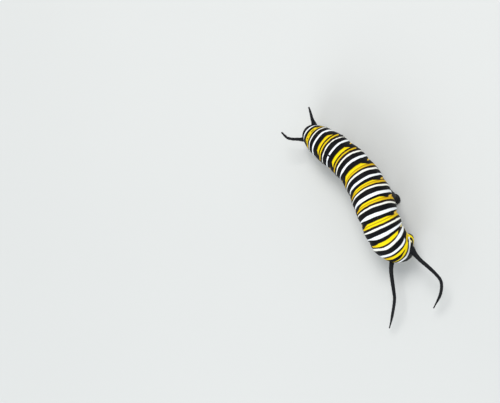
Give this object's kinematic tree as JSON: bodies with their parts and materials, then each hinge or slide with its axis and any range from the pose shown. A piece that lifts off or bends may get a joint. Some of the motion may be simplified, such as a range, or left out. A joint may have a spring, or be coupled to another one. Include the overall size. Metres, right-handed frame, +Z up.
{
  "type": "monarch larva",
  "caption": "Full-grown butterfly larva in yellow, white and black rings, walking with its front end arched down, long black feelers ahead and short ones behind.",
  "frame": {"origin": "middle of the footprint, on the floor", "axes": "+Z up, +Y towards the tail, +X towards the larva's left"},
  "size_m": [0.0142, 0.0384, 0.0096],
  "materials": {
    "skin": "soft skin in yellow, white and velvety black rings",
    "shell": "smooth black head shell with yellow and white bands",
    "legs": "shiny black",
    "prolegs": "satin black with a pale patch on the outer side",
    "feelers": "matt black with a grey sheen"
  },
  "bodies": {
    "root": {"abdomen_1": "skin", "abdomen_10": "skin", "abdomen_2": "skin", "abdomen_3": "skin", "abdomen_4": "skin", "abdomen_5": "skin", "abdomen_6": "skin", "abdomen_7": "skin", "abdomen_8": "skin", "abdomen_9": "skin", "antenna_left": "legs", "antenna_right": "legs", "filament_front_left": "feelers", "filament_front_right": "feelers", "filament_rear_left": "feelers", "filament_rear_right": "feelers", "head": "shell", "leg_thorax_1_left": "legs", "leg_thorax_1_right": "legs", "leg_thorax_2_left": "legs", "leg_thorax_2_right": "legs", "leg_thorax_3_left": "legs", "leg_thorax_3_right": "legs", "proleg_abdomen_10_left": "prolegs", "proleg_abdomen_10_right": "prolegs", "proleg_abdomen_3_left": "prolegs", "proleg_abdomen_3_right": "prolegs", "proleg_abdomen_4_left": "prolegs", "proleg_abdomen_4_right": "prolegs", "proleg_abdomen_5_left": "prolegs", "proleg_abdomen_5_right": "prolegs", "proleg_abdomen_6_left": "prolegs", "proleg_abdomen_6_right": "prolegs", "thorax_1": "skin", "thorax_2": "skin", "thorax_3": "skin"}
  },
  "joints": []
}
